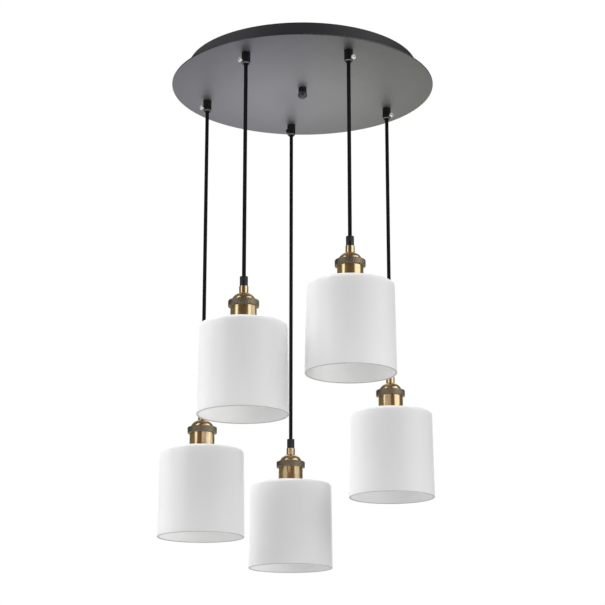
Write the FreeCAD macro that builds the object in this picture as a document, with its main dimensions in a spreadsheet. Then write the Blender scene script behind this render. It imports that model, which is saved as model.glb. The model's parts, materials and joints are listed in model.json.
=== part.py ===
import FreeCAD, Part
import Sketcher
import math
import os
import re

# Cluster pendant: a round canopy that carries five glass shades on straight cords of uneven length.
# Millimetres. Z = 0 is the ceiling, +Z is up, and the origin is the centre of the ceiling strap.
# The pendants are numbered from the shortest cord to the longest.

# Driving dimensions
SIZES = {
    # Canopy: a flat face plate under a shallower, smaller pan
    "plate_radius": 215.0,
    "plate_thickness": 2.0,
    "plate_edge_round": 0.6,
    "pan_radius": 189.0,
    "pan_depth": 30.0,
    "pan_wall": 1.2,
    "pan_bend_radius": 2.5,
    # Ceiling strap with two slots for the screws of the ceiling box
    "strap_length": 116.0,
    "strap_width": 30.0,
    "strap_thickness": 2.0,
    "strap_corner_round": 4.0,
    "slot_spacing": 80.0,
    "slot_length": 19.0,
    "slot_width": 5.0,
    # Centre stud, its lock nut, and the ball nut that holds the canopy up
    "stud_radius": 4.0,
    "stud_below_plate": 12.5,
    "stud_chamfer": 0.7,
    "stud_nut_height": 5.0,
    "stud_nut_across_flats": 13.0,
    "stud_hole_clearance": 0.5,
    "ball_radius": 7.8,
    "ball_neck_radius": 6.8,
    "ball_nut_height": 19.6,
    "ball_nut_thread_depth": 13.5,
    # Cord grips, where they stand, and their nuts inside the canopy
    "pitch_radius": 170.0,
    "angle_1": 295.1,
    "angle_2": 238.5,
    "angle_3": 32.5,
    "angle_4": 160.6,
    "angle_5": 96.6,
    "grip_radius": 7.0,
    "grip_height": 18.6,
    "grip_mouth_chamfer": 1.3,
    "grip_nose_radius": 4.7,
    "grip_nose_height": 1.6,
    "grip_shank_radius": 4.9,
    "grip_hole_clearance": 0.3,
    "grip_nut_height": 4.0,
    "grip_nut_across_flats": 14.0,
    "grip_shank_above_nut": 1.0,
    # Set screws that clamp the cords, and the side that each one faces
    "screw_radius": 1.5,
    "screw_head_radius": 3.5,
    "screw_head_height": 2.4,
    "screw_head_gap": 3.0,
    "screw_head_chamfer": 0.4,
    "screw_socket_radius": 1.6,
    "screw_socket_depth": 1.3,
    "screw_above_mouth": 6.3,
    "screw_side_1": 313.0,
    "screw_side_2": 212.0,
    "screw_side_3": 316.0,
    "screw_side_4": 212.0,
    "screw_side_5": 240.0,
    # Cords: the free length between grip and gland, and the stretches inside the fittings
    "cord_radius": 3.0,
    "cord_clearance": 0.1,
    "cord_length_1": 285.0,
    "cord_length_2": 346.0,
    "cord_length_3": 433.0,
    "cord_length_4": 501.0,
    "cord_length_5": 537.0,
    "cord_in_gland": 8.0,
    "tail_bend_radius": 11.0,
    "tail_in_block": 2.5,
    # Terminal block on the floor of the pan
    "block_length": 60.0,
    "block_width": 22.0,
    "block_height": 23.0,
    "block_place": 45.0,
    "block_edge_round": 1.0,
    "window_width": 10.0,
    "window_height": 8.0,
    "window_depth": 4.0,
    "window_spacing": 24.0,
    "well_radius": 2.6,
    "well_depth": 5.0,
    "well_spacing": 11.0,
    # Gland on top of each lampholder
    "gland_radius": 6.2,
    "gland_height": 15.6,
    "gland_chamfer": 1.0,
    "gland_nut_height": 9.0,
    "gland_seam_depth": 0.5,
    "gland_seam_height": 0.8,
    "gland_thread_radius": 4.5,
    "gland_thread_length": 7.0,
    # Domed cap of the lampholder
    "neck_radius": 7.2,
    "neck_height": 11.0,
    "dome_radius": 18.4,
    "dome_height": 11.8,
    "dome_lip": 1.6,
    "dome_curve": 15.0,
    "cap_wall": 1.2,
    "cap_thread_radius": 17.4,
    "cap_thread_length": 5.0,
    # Knurled ring that joins the cap to the body
    "knurl_radius": 23.5,
    "knurl_height": 9.3,
    "knurl_chamfer": 0.8,
    "knurl_lip": 2.0,
    "knurl_depth": 0.7,
    "knurl_width": 3.6,
    "knurl_slant": 9.0,
    # Body of the lampholder, with the threaded neck that goes through the glass
    "body_radius": 20.25,
    "body_height": 28.0,
    "body_foot_chamfer": 0.5,
    "body_thread_radius": 18.4,
    "body_thread_below_ring": 4.0,
    "body_lip": 1.2,
    "body_mouth_radius": 14.8,
    # Porcelain insert, and the screw shell that takes an E26 or E27 lamp
    "porcelain_radius": 17.2,
    "porcelain_cavity": 27.0,
    "wire_hole_radius": 2.5,
    "shell_bore_radius": 13.3,
    "shell_wall": 0.6,
    "shell_length": 24.0,
    "shell_eye_radius": 8.0,
    # Ring that holds the glass up from inside
    "shade_ring_radius": 25.0,
    "shade_ring_height": 6.0,
    "shade_ring_chamfer": 0.6,
    "notch_depth": 2.0,
    "notch_width": 6.0,
    # Opal glass shade: a cylinder that widens a little downwards, closed on top
    "glass_top_radius": 67.2,
    "glass_rim_radius": 69.0,
    "glass_height": 138.0,
    "glass_wall": 3.0,
    "glass_shoulder_round": 5.0,
    "glass_inner_round": 2.5,
    "glass_rim_round": 1.2,
    "glass_hole_clearance": 0.5,
    # Radial clearance of threads and turned fits
    "fit": 0.05,
}

PENDANTS = (1, 2, 3, 4, 5)
KNURL_GROOVES = 36
RING_NOTCHES = 4
BLOCK_WELLS = 5
ANTICLOCKWISE = 1
CLOCKWISE = -1

document = FreeCAD.newDocument("cluster_pendant")
sheet = document.addObject("Spreadsheet::Sheet", "Sizes")
for row, (alias, value) in enumerate(SIZES.items(), start=1):
    sheet.set("A%d" % row, alias)
    sheet.set("B%d" % row, str(value))
    sheet.setAlias("B%d" % row, alias)
document.recompute()

sub_parts = []


# Expressions in plain size names

def cells(text):
    """The expression with each size name turned into its cell of the sheet."""
    return re.sub(r"[a-z_]\w*", lambda name: ("Sizes." if name[0] in SIZES else "") + name[0], text)


def number(text):
    """The present value of an expression."""
    return float(sheet.evalExpression(cells(text)))


def below(*names):
    """The level that lies under zero by the sum of these sizes."""
    return "-(" + " + ".join(names) + ")"


# Levels of the canopy, down from the ceiling
FLOOR_TOP = "(pan_wall - pan_depth)"
PLATE_TOP = "-pan_depth"
PLATE_BOTTOM = below("pan_depth", "plate_thickness")
MOUTH = below("pan_depth", "plate_thickness", "grip_height", "grip_nose_height")
SCREW_LEVEL = "(" + MOUTH + " + screw_above_mouth)"
SHANK_TOP = "(" + FLOOR_TOP + " + grip_nut_height + grip_shank_above_nut)"
TAIL_LEVEL = "(" + SHANK_TOP + " + tail_bend_radius)"

# Levels of a lamp, down from the top of its gland
NECK_TOP = below("gland_height")
DOME_TOP = below("gland_height", "neck_height")
KNURL_TOP = below("gland_height", "neck_height", "dome_height")
BODY_TOP = below("gland_height", "neck_height", "dome_height", "knurl_lip")
KNURL_BOTTOM = below("gland_height", "neck_height", "dome_height", "knurl_height")
GLASS_TOP = "(" + KNURL_BOTTOM + " - body_height)"
CAP_BOTTOM = "(" + BODY_TOP + " - cap_thread_length)"
SHADE_RING_TOP = "(" + GLASS_TOP + " - glass_wall)"
SHADE_RING_BOTTOM = "(" + SHADE_RING_TOP + " - shade_ring_height)"
BODY_BOTTOM = "(" + SHADE_RING_BOTTOM + " - body_thread_below_ring)"
PORCELAIN_BOTTOM = "(" + BODY_BOTTOM + " + body_lip)"
CAVITY_TOP = "(" + PORCELAIN_BOTTOM + " + porcelain_cavity)"
GLASS_RIM = "(" + GLASS_TOP + " - glass_height)"


# Bodies, sketches and features

def new_body(label):
    """A body with a label of its own."""
    body = document.addObject("PartDesign::Body", label)
    body.Label = label
    return body


def put(item, across="0", along="0", up="0", turn="0"):
    """Place an object by expressions: three distances, and a turn about the upright axis."""
    item.Placement = FreeCAD.Placement(FreeCAD.Vector(), FreeCAD.Rotation(FreeCAD.Vector(0, 0, 1), 1))
    for path, text in (("Base.x", across), ("Base.y", along), ("Base.z", up), ("Rotation.Angle", turn)):
        item.setExpression("Placement." + path, cells(text))


def keep(item):
    """Keep an object as one of the sub-parts that are written out."""
    sub_parts.append(item)


def keep_group(label, bodies):
    """Keep alike fittings of the canopy together as one sub-part."""
    compound = document.addObject("Part::Compound", label)
    compound.Label = label
    compound.Links = bodies
    keep(compound)


def new_sketch(body, role, up="0", turn="0"):
    """A sketch on an origin plane of the body, lifted off the plane and turned in it by expressions."""
    sketch = body.newObject("Sketcher::SketchObject", "outline")
    plane = [item for item in body.Origin.OriginFeatures if item.Role == role][0]
    sketch.AttachmentSupport = (plane, [""])
    sketch.MapMode = "FlatFace"
    sketch.AttachmentOffset = FreeCAD.Placement(
        FreeCAD.Vector(), FreeCAD.Rotation(FreeCAD.Vector(0, 0, 1), 1)
    )
    sketch.setExpression("AttachmentOffset.Base.z", cells(up))
    sketch.setExpression("AttachmentOffset.Rotation.Angle", cells(turn))
    return sketch


def bind(sketch, kind, places, text):
    """Add a dimension to the sketch and tie it to an expression."""
    index = sketch.addConstraint(Sketcher.Constraint(kind, *places, number(text)))
    sketch.setExpression("Constraints[%d]" % index, cells(text))


def arc_between(start, end, radius, way):
    """The arc of less than half a turn from start to end that turns the given way."""
    half = (end - start) / 2
    rise = math.sqrt(max(radius ** 2 - half.Length ** 2, 0))
    centre = start + half + FreeCAD.Vector(-half.y, half.x, 0).normalize() * rise * way
    first, last = (start, end) if way == ANTICLOCKWISE else (end, start)
    angles = [math.atan2(point.y - centre.y, point.x - centre.x) for point in (first, last)]
    return Part.ArcOfCircle(Part.Circle(centre, FreeCAD.Vector(0, 0, 1), radius), *angles)


def draw(sketch, corners, closed=True):
    """Draw an outline through corners given as expressions (across, up).

    A corner with two more entries is reached by an arc: its radius, and the way it turns.
    """
    points = [FreeCAD.Vector(number(corner[0]), number(corner[1]), 0) for corner in corners]
    edges = []
    for index, corner in enumerate(corners):
        if index == 0 and not closed:
            continue
        start, end = points[index - 1], points[index]
        if len(corner) == 2:
            edges.append((sketch.addGeometry(Part.LineSegment(start, end), False), 1, 2))
            continue
        edge = sketch.addGeometry(arc_between(start, end, number(corner[2]), corner[3]), False)
        edges.append((edge, 1, 2) if corner[3] == ANTICLOCKWISE else (edge, 2, 1))
        bind(sketch, "Radius", (edge,), corner[2])
    for index, (edge, start, end) in enumerate(edges):
        corner = corners[index] if closed else corners[index + 1]
        bind(sketch, "DistanceX", (-1, 1, edge, end), corner[0])
        bind(sketch, "DistanceY", (-1, 1, edge, end), corner[1])
        if closed or index > 0:
            before, _, place = edges[index - 1]
            sketch.addConstraint(Sketcher.Constraint("Coincident", before, place, edge, start))
    if not closed:
        bind(sketch, "DistanceX", (-1, 1, edges[0][0], edges[0][1]), corners[0][0])
        bind(sketch, "DistanceY", (-1, 1, edges[0][0], edges[0][1]), corners[0][1])


def draw_rectangle(sketch, width, height, across="0", up="0"):
    """Draw a rectangle about a middle point."""
    left, right = ("(%s) %s (%s) / 2" % (across, sign, width) for sign in "-+")
    low, high = ("(%s) %s (%s) / 2" % (up, sign, height) for sign in "-+")
    draw(sketch, [(left, low), (right, low), (right, high), (left, high)])


def draw_circle(sketch, radius, across="0", up="0"):
    """Draw a circle about a middle point."""
    middle = FreeCAD.Vector(number(across), number(up), 0)
    circle = Part.Circle(middle, FreeCAD.Vector(0, 0, 1), number(radius))
    edge = sketch.addGeometry(circle, False)
    bind(sketch, "Radius", (edge,), radius)
    bind(sketch, "DistanceX", (-1, 1, edge, 3), across)
    bind(sketch, "DistanceY", (-1, 1, edge, 3), up)


def draw_slot(sketch, length, width, across):
    """Draw a slot that runs level, with half-round ends."""
    half = number(width) / 2
    straight = "((%s) - (%s)) / 2" % (length, width)
    centres = ["(%s) %s %s" % (across, sign, straight) for sign in "-+"]
    left, right = number(centres[0]), number(centres[1])
    edges = []
    for middle, start in ((left, math.pi / 2), (right, -math.pi / 2)):
        circle = Part.Circle(FreeCAD.Vector(middle, 0, 0), FreeCAD.Vector(0, 0, 1), half)
        edges.append(sketch.addGeometry(Part.ArcOfCircle(circle, start, start + math.pi), False))
    for first, last, up in ((left, right, -half), (right, left, half)):
        line = Part.LineSegment(FreeCAD.Vector(first, up, 0), FreeCAD.Vector(last, up, 0))
        edges.append(sketch.addGeometry(line, False))
    left_end, right_end, low, high = edges
    for one, its_end, other, other_end in (
        (left_end, 2, low, 1),
        (low, 2, right_end, 1),
        (right_end, 2, high, 1),
        (high, 2, left_end, 1),
    ):
        sketch.addConstraint(Sketcher.Constraint("Tangent", one, its_end, other, other_end))
    sketch.addConstraint(Sketcher.Constraint("Equal", left_end, right_end))
    bind(sketch, "Radius", (left_end,), "(%s) / 2" % width)
    for edge, centre in zip((left_end, right_end), centres):
        bind(sketch, "DistanceX", (-1, 1, edge, 3), centre)
        bind(sketch, "DistanceY", (-1, 1, edge, 3), "0")


def draw_hexagon(sketch, across_flats):
    """Draw a hexagon about the origin."""
    corner = "(%s) / sqrt(3)" % across_flats
    draw(sketch, [("%s * cos(%d)" % (corner, turn), "%s * sin(%d)" % (corner, turn)) for turn in range(0, 360, 60)])


def revolve(body, sketch, axis="V_Axis"):
    """Turn a sketch once about its upright or its level axis."""
    feature = body.newObject("PartDesign::Revolution", "turned")
    feature.Profile = sketch
    feature.ReferenceAxis = (sketch, [axis])
    feature.Angle = 360
    return feature


def pad(body, sketch, length, down=False):
    """Add a sketch's outline as a prism."""
    feature = body.newObject("PartDesign::Pad", "pad")
    feature.Profile = sketch
    feature.Reversed = down
    feature.setExpression("Length", cells(length))
    return feature


def cut(body, sketch, depth, forward=False):
    """Cut a sketch's outline out of the body, against the sketch's normal or along it."""
    document.recompute()
    volume = body.Shape.Volume
    feature = body.newObject("PartDesign::Pocket", "pocket")
    feature.Profile = sketch
    feature.Reversed = forward
    feature.setExpression("Length", cells(depth))
    document.recompute()
    if body.Shape.Volume >= volume:
        raise RuntimeError(body.Label + ": a pocket cuts nothing")
    return feature


def repeat(body, feature, kind, axis, count, **span):
    """Repeat a feature around or along an axis of its sketch."""
    pattern = body.newObject("PartDesign::" + kind, "pattern")
    pattern.Originals = [feature]
    axes = {"PolarPattern": "Axis", "LinearPattern": "Direction"}
    setattr(pattern, axes[kind], (feature.Profile[0], [axis]))
    pattern.Occurrences = count
    for name, text in span.items():
        pattern.setExpression(name, cells(text))
    body.Tip = pattern
    return pattern


def edges_where(body, test):
    """The names of the body's present edges that pass a test."""
    document.recompute()
    shape = body.Tip.Shape
    return ["Edge%d" % number for number, edge in enumerate(shape.Edges, start=1) if test(edge)]


def soften(body, kind, text, test):
    """Round or chamfer the edges of the body that pass a test."""
    names = edges_where(body, test)
    if not names:
        raise RuntimeError(body.Label + ": no edge to soften")
    base = body.Tip
    feature = body.newObject("PartDesign::" + kind, kind.lower())
    feature.Base = (base, names)
    feature.setExpression("Radius" if kind == "Fillet" else "Size", cells(text))
    return feature


def ring_at(radius, level):
    """A test for the round edge of this radius at this level."""
    wanted = number(radius), number(level)

    def test(edge):
        curve = edge.Curve
        if not isinstance(curve, Part.Circle):
            return False
        return abs(curve.Radius - wanted[0]) < 1e-4 and abs(curve.Center.z - wanted[1]) < 1e-4

    return test


def is_upright(edge):
    """A test for straight edges that stand upright."""
    low, high = edge.BoundBox.ZMin, edge.BoundBox.ZMax
    return isinstance(edge.Curve, Part.Line) and abs(high - low - edge.Length) < 1e-6


def place(pendant):
    """Where a pendant's axis stands on the pitch circle, as two expressions."""
    return tuple("pitch_radius * %s(angle_%d)" % (part, pendant) for part in ("cos", "sin"))


def lamp_top(pendant):
    """The level of a pendant's gland top."""
    return "(" + MOUTH + " - cord_length_%d)" % pendant


def turned(label, corners):
    """A body turned about its upright axis."""
    body = new_body(label)
    sketch = new_sketch(body, "XZ_Plane")
    draw(sketch, corners)
    revolve(body, sketch)
    return body


# Canopy

def ceiling_bracket():
    """Flat strap with two slots and a tapped centre hole."""
    body = new_body("ceiling_bracket")
    sketch = new_sketch(body, "XY_Plane")
    draw_rectangle(sketch, "strap_length", "strap_width")
    pad(body, sketch, "strap_thickness", down=True)
    soften(body, "Fillet", "strap_corner_round", is_upright)
    holes = new_sketch(body, "XY_Plane")
    draw_circle(holes, "stud_radius + fit")
    for side in ("-", ""):
        draw_slot(holes, "slot_length", "slot_width", across=side + "slot_spacing / 2")
    cut(body, holes, "strap_thickness")
    put(body)
    keep(body)


def centre_stud():
    """Threaded stud from the strap down through pan and plate into the ball nut."""
    body = new_body("centre_stud")
    sketch = new_sketch(body, "XY_Plane")
    draw_circle(sketch, "stud_radius")
    length = "pan_depth + plate_thickness + stud_below_plate"
    pad(body, sketch, length, down=True)
    soften(body, "Chamfer", "stud_chamfer", ring_at("stud_radius", "-(" + length + ")"))
    put(body)
    keep(body)


def hexagon_nut(label, across_flats, height, bore, down=False):
    """A plain hexagon nut that stands on its origin, or hangs under it."""
    body = new_body(label)
    sketch = new_sketch(body, "XY_Plane")
    draw_hexagon(sketch, across_flats)
    draw_circle(sketch, bore)
    pad(body, sketch, height, down)
    return body


def stud_nut():
    """Lock nut of the centre stud, tight under the strap."""
    body = hexagon_nut("stud_nut", "stud_nut_across_flats", "stud_nut_height", "stud_radius + fit", down=True)
    put(body, up="-strap_thickness")
    keep(body)


def cut_cord_holes(body, level):
    """Cut the holes of the five cord grips, down from a level."""
    sketch = new_sketch(body, "XY_Plane", up=level)
    for pendant in PENDANTS:
        draw_circle(sketch, "grip_shank_radius + grip_hole_clearance", *place(pendant))
    cut(body, sketch, "pan_wall + plate_thickness")


def canopy_pan():
    """Drawn steel cup, open to the ceiling, with a rounded lower corner."""
    wall = "(pan_radius - pan_wall)"
    flat = "(pan_radius - pan_bend_radius)"
    bend = "(pan_bend_radius - pan_depth)"
    hole = "stud_radius + stud_hole_clearance"
    body = turned("canopy_pan", [
        (hole, PLATE_TOP),
        (flat, PLATE_TOP),
        ("pan_radius", bend, "pan_bend_radius", ANTICLOCKWISE),
        ("pan_radius", "0"),
        (wall, "0"),
        (wall, bend),
        (flat, FLOOR_TOP, "pan_bend_radius - pan_wall", CLOCKWISE),
        (hole, FLOOR_TOP),
    ])
    cut_cord_holes(body, FLOOR_TOP)
    put(body)
    keep(body)


def face_plate():
    """Flat disc under the pan, wider than the pan, with softened edges."""
    body = new_body("face_plate")
    sketch = new_sketch(body, "XY_Plane", up=PLATE_TOP)
    draw_circle(sketch, "plate_radius")
    draw_circle(sketch, "stud_radius + stud_hole_clearance")
    pad(body, sketch, "plate_thickness", down=True)
    for level in (PLATE_TOP, PLATE_BOTTOM):
        soften(body, "Fillet", "plate_edge_round", ring_at("plate_radius", level))
    cut_cord_holes(body, PLATE_TOP)
    put(body)
    keep(body)


def cap_nut():
    """Ball nut with a short neck, blind from below, that holds the canopy up on the stud."""
    joint = "ball_radius - ball_nut_height + sqrt(ball_radius ^ 2 - ball_neck_radius ^ 2)"
    bore = "stud_radius + fit"
    body = turned("cap_nut", [
        ("0", "-ball_nut_height"),
        ("ball_neck_radius", joint, "ball_radius", ANTICLOCKWISE),
        ("ball_neck_radius", "0"),
        (bore, "0"),
        (bore, "-ball_nut_thread_depth"),
        ("0", "-ball_nut_thread_depth"),
    ])
    put(body, up=PLATE_BOTTOM)
    keep(body)


def cord_grips():
    """Cord grips: a chamfered barrel with a nose, a threaded shank, a bore and a cross hole for its screw."""
    bore = "cord_radius + cord_clearance"
    nose = "-(grip_height + grip_nose_height)"
    shank_top = "plate_thickness + pan_wall + grip_nut_height + grip_shank_above_nut"
    grips = []
    for pendant in PENDANTS:
        body = turned("cord_grip_%d" % pendant, [
            (bore, nose),
            ("grip_nose_radius", nose),
            ("grip_nose_radius", "-grip_height"),
            ("grip_radius - grip_mouth_chamfer", "-grip_height"),
            ("grip_radius", "grip_mouth_chamfer - grip_height"),
            ("grip_radius", "0"),
            ("grip_shank_radius", "0"),
            ("grip_shank_radius", shank_top),
            (bore, shank_top),
        ])
        sketch = new_sketch(body, "YZ_Plane")
        draw_circle(sketch, "screw_radius + fit", up=nose + " + screw_above_mouth")
        cut(body, sketch, "2 * grip_radius", forward=True)
        put(body, *place(pendant), PLATE_BOTTOM, "screw_side_%d" % pendant)
        grips.append(body)
    keep_group("cord_grips", grips)


def grip_nuts():
    """Nuts that clamp the plate and the pan to the cord grips."""
    nuts = []
    for pendant in PENDANTS:
        body = hexagon_nut(
            "grip_nut_%d" % pendant, "grip_nut_across_flats", "grip_nut_height", "grip_shank_radius + fit"
        )
        put(body, *place(pendant), FLOOR_TOP)
        nuts.append(body)
    keep_group("grip_nuts", nuts)


def set_screw(pendant):
    """Set screw with a low head and a hexagon socket, its tip against the cord."""
    tip = "cord_radius + fit"
    under_head = "grip_radius + screw_head_gap"
    top = under_head + " + screw_head_height"
    body = new_body("set_screw_%d" % pendant)
    sketch = new_sketch(body, "XZ_Plane")
    draw(sketch, [
        (tip, "0"),
        (top, "0"),
        (top, "screw_head_radius - screw_head_chamfer"),
        (top + " - screw_head_chamfer", "screw_head_radius"),
        (under_head, "screw_head_radius"),
        (under_head, "screw_radius"),
        (tip, "screw_radius"),
    ])
    revolve(body, sketch, "H_Axis")
    socket = new_sketch(body, "YZ_Plane", up=top)
    draw_hexagon(socket, "sqrt(3) * screw_socket_radius")
    cut(body, socket, "screw_socket_depth")
    put(body, *place(pendant), SCREW_LEVEL, "screw_side_%d" % pendant)
    keep(body)


# Terminal block and the cords' tails inside the canopy

WINDOW_SIDES = {
    1: ("window_spacing / 2", "block_place - block_width / 2 + tail_in_block"),
    2: ("-window_spacing / 2", "block_place - block_width / 2 + tail_in_block"),
    3: ("block_length / 2 - tail_in_block", "block_place"),
    4: ("tail_in_block - block_length / 2", "block_place"),
    5: ("-window_spacing / 2", "block_place + block_width / 2 - tail_in_block"),
}


def terminal_block():
    """Moulded block with a window for each cord and a row of screw wells on top."""
    body = new_body("terminal_block")
    sketch = new_sketch(body, "XY_Plane")
    draw_rectangle(sketch, "block_length", "block_width")
    pad(body, sketch, "block_height")
    soften(body, "Fillet", "block_edge_round", is_upright)
    window_level = TAIL_LEVEL + " - " + FLOOR_TOP
    for role, reach, spots, forward in (
        ("XZ_Plane", "block_width / 2", ("-window_spacing / 2", "window_spacing / 2"), False),
        ("XZ_Plane", "-block_width / 2", ("-window_spacing / 2", "window_spacing / 2"), True),
        ("YZ_Plane", "block_length / 2", ("0",), False),
        ("YZ_Plane", "-block_length / 2", ("0",), True),
    ):
        windows = new_sketch(body, role, up=reach)
        for spot in spots:
            draw_rectangle(windows, "window_width", "window_height", spot, window_level)
        cut(body, windows, "window_depth", forward)
    well = new_sketch(body, "XY_Plane", up="block_height")
    first_well = "-well_spacing * %d / 2" % (BLOCK_WELLS - 1)
    draw_circle(well, "well_radius", across=first_well)
    first = cut(body, well, "well_depth")
    repeat(body, first, "LinearPattern", "H_Axis", BLOCK_WELLS, Length="well_spacing * %d" % (BLOCK_WELLS - 1))
    put(body, "0", "block_place", FLOOR_TOP)
    keep(body)


def cord_tails():
    """The cords' upper ends: up through their grips, one bend, and level to the terminal block."""
    tails = []
    for pendant in PENDANTS:
        across, along = place(pendant)
        end_across, end_along = WINDOW_SIDES[pendant]
        steps = "(%s - %s)" % (end_across, across), "(%s - %s)" % (end_along, along)
        body = new_body("cord_tail_%d" % pendant)
        route = new_sketch(body, "XZ_Plane")
        draw(route, [
            ("0", MOUTH),
            ("0", SHANK_TOP),
            ("tail_bend_radius", TAIL_LEVEL, "tail_bend_radius", CLOCKWISE),
            ("sqrt(%s ^ 2 + %s ^ 2)" % steps, TAIL_LEVEL),
        ], closed=False)
        section = new_sketch(body, "XY_Plane", up=MOUTH)
        draw_circle(section, "cord_radius")
        document.recompute()
        pipe = body.newObject("PartDesign::AdditivePipe", "tube")
        pipe.Profile = section
        pipe.Spine = (route, ["Edge%d" % (index + 1) for index in range(len(route.Shape.Edges))])
        put(body, across, along, "0", "atan2(%s; %s)" % steps[::-1])
        tails.append(body)
    keep_group("cord_tails", tails)


def cord(pendant):
    """The free stretch of a cord, from the mouth of its grip to the floor of the gland's bore."""
    body = new_body("cord_%d" % pendant)
    sketch = new_sketch(body, "XY_Plane")
    draw_circle(sketch, "cord_radius")
    pad(body, sketch, "cord_length_%d + cord_in_gland" % pendant, down=True)
    put(body, *place(pendant), MOUTH)
    keep(body)


# Lamp

def keep_lamp_piece(body, pendant):
    """Hang a piece of the lamp under its cord and keep it."""
    put(body, *place(pendant), lamp_top(pendant))
    keep(body)


def cord_gland(pendant):
    """Black gland that grips the cord and screws into the neck of the cap."""
    spigot = "-(gland_height + gland_thread_length)"
    seam_top = "-gland_nut_height"
    seam_bottom = "-(gland_nut_height + gland_seam_height)"
    seam = "gland_radius - gland_seam_depth"
    bore = "cord_radius + cord_clearance"
    keep_lamp_piece(turned("cord_gland_%d" % pendant, [
        ("0", spigot),
        ("gland_thread_radius", spigot),
        ("gland_thread_radius", NECK_TOP),
        ("gland_radius", NECK_TOP),
        ("gland_radius", seam_bottom),
        (seam, seam_bottom),
        (seam, seam_top),
        ("gland_radius", seam_top),
        ("gland_radius", "-gland_chamfer"),
        ("gland_radius - gland_chamfer", "0"),
        (bore, "0"),
        (bore, "-cord_in_gland"),
        ("0", "-cord_in_gland"),
    ]), pendant)


def holder_cap(pendant):
    """Brass neck and dome in one shell, with a spigot that screws into the body."""
    inside = "cap_thread_radius - cap_wall"
    neck_bore = "gland_thread_radius + fit"
    keep_lamp_piece(turned("holder_cap_%d" % pendant, [
        (inside, CAP_BOTTOM),
        ("cap_thread_radius", CAP_BOTTOM),
        ("cap_thread_radius", KNURL_TOP),
        ("dome_radius", KNURL_TOP),
        ("dome_radius", KNURL_TOP + " + dome_lip"),
        ("neck_radius", DOME_TOP, "dome_curve", ANTICLOCKWISE),
        ("neck_radius", NECK_TOP),
        (neck_bore, NECK_TOP),
        (neck_bore, DOME_TOP + " - cap_wall"),
        (inside, KNURL_TOP + " + dome_lip", "dome_curve - cap_wall", CLOCKWISE),
    ]), pendant)


def knurled_ring(pendant):
    """Ring with slanted grooves; its inner lip is clamped between the dome and the body."""
    lip = "cap_thread_radius + fit"
    skirt = "body_radius + fit"
    shoulder = "knurl_radius - knurl_chamfer"
    body = turned("knurled_ring_%d" % pendant, [
        (skirt, KNURL_BOTTOM),
        (shoulder, KNURL_BOTTOM),
        ("knurl_radius", KNURL_BOTTOM + " + knurl_chamfer"),
        ("knurl_radius", KNURL_TOP + " - knurl_chamfer"),
        (shoulder, KNURL_TOP),
        (lip, KNURL_TOP),
        (lip, BODY_TOP),
        (skirt, BODY_TOP),
    ])
    root = "knurl_radius - knurl_depth"
    mouth = "knurl_radius + knurl_depth"
    ends = []
    for level, turn in ((KNURL_BOTTOM, "0"), (KNURL_TOP, "knurl_slant")):
        section = new_sketch(body, "XY_Plane", level, turn)
        draw(section, [(root, "0"), (mouth, "-knurl_width"), (mouth, "knurl_width")])
        ends.append(section)
    groove = body.newObject("PartDesign::SubtractiveLoft", "groove")
    groove.Profile = ends[0]
    groove.Sections = [ends[1]]
    groove.Ruled = True
    document.recompute()
    repeat(body, groove, "PolarPattern", "N_Axis", KNURL_GROOVES)
    keep_lamp_piece(body, pendant)


def holder_body(pendant):
    """Brass cup: a smooth barrel over the glass, and a threaded neck down through it."""
    thread_bore = "cap_thread_radius + fit"
    bore = "porcelain_radius + fit"
    keep_lamp_piece(turned("holder_body_%d" % pendant, [
        ("body_mouth_radius", BODY_BOTTOM),
        ("body_thread_radius", BODY_BOTTOM),
        ("body_thread_radius", GLASS_TOP),
        ("body_radius - body_foot_chamfer", GLASS_TOP),
        ("body_radius", GLASS_TOP + " + body_foot_chamfer"),
        ("body_radius", BODY_TOP),
        (thread_bore, BODY_TOP),
        (thread_bore, CAP_BOTTOM),
        (bore, CAP_BOTTOM),
        (bore, PORCELAIN_BOTTOM),
        ("body_mouth_radius", PORCELAIN_BOTTOM),
    ]), pendant)


def lamp_socket(pendant):
    """Porcelain insert, held between the lip of the body and the spigot of the cap."""
    cavity = "shell_bore_radius + shell_wall + fit"
    keep_lamp_piece(turned("lamp_socket_%d" % pendant, [
        (cavity, PORCELAIN_BOTTOM),
        ("porcelain_radius", PORCELAIN_BOTTOM),
        ("porcelain_radius", CAP_BOTTOM),
        ("wire_hole_radius", CAP_BOTTOM),
        ("wire_hole_radius", CAVITY_TOP),
        (cavity, CAVITY_TOP),
    ]), pendant)


def screw_shell(pendant):
    """Brass shell that takes the lamp, riveted to the top of the porcelain's cavity."""
    outside = "shell_bore_radius + shell_wall"
    foot = CAVITY_TOP + " - shell_length"
    keep_lamp_piece(turned("screw_shell_%d" % pendant, [
        ("shell_bore_radius", foot),
        (outside, foot),
        (outside, CAVITY_TOP),
        ("shell_eye_radius", CAVITY_TOP),
        ("shell_eye_radius", CAVITY_TOP + " - shell_wall"),
        ("shell_bore_radius", CAVITY_TOP + " - shell_wall"),
    ]), pendant)


def shade_ring(pendant):
    """Ring on the body's neck that holds the glass from inside, with notches for the fingers."""
    bore = "body_thread_radius + fit"
    outside = "shade_ring_radius"
    body = turned("shade_ring_%d" % pendant, [
        (bore, SHADE_RING_BOTTOM),
        (outside + " - shade_ring_chamfer", SHADE_RING_BOTTOM),
        (outside, SHADE_RING_BOTTOM + " + shade_ring_chamfer"),
        (outside, SHADE_RING_TOP),
        (bore, SHADE_RING_TOP),
    ])
    notch = new_sketch(body, "XY_Plane", up=SHADE_RING_TOP)
    draw_rectangle(notch, "2 * notch_depth", "notch_width", across=outside)
    first = cut(body, notch, "shade_ring_height")
    repeat(body, first, "PolarPattern", "N_Axis", RING_NOTCHES)
    keep_lamp_piece(body, pendant)


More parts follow.
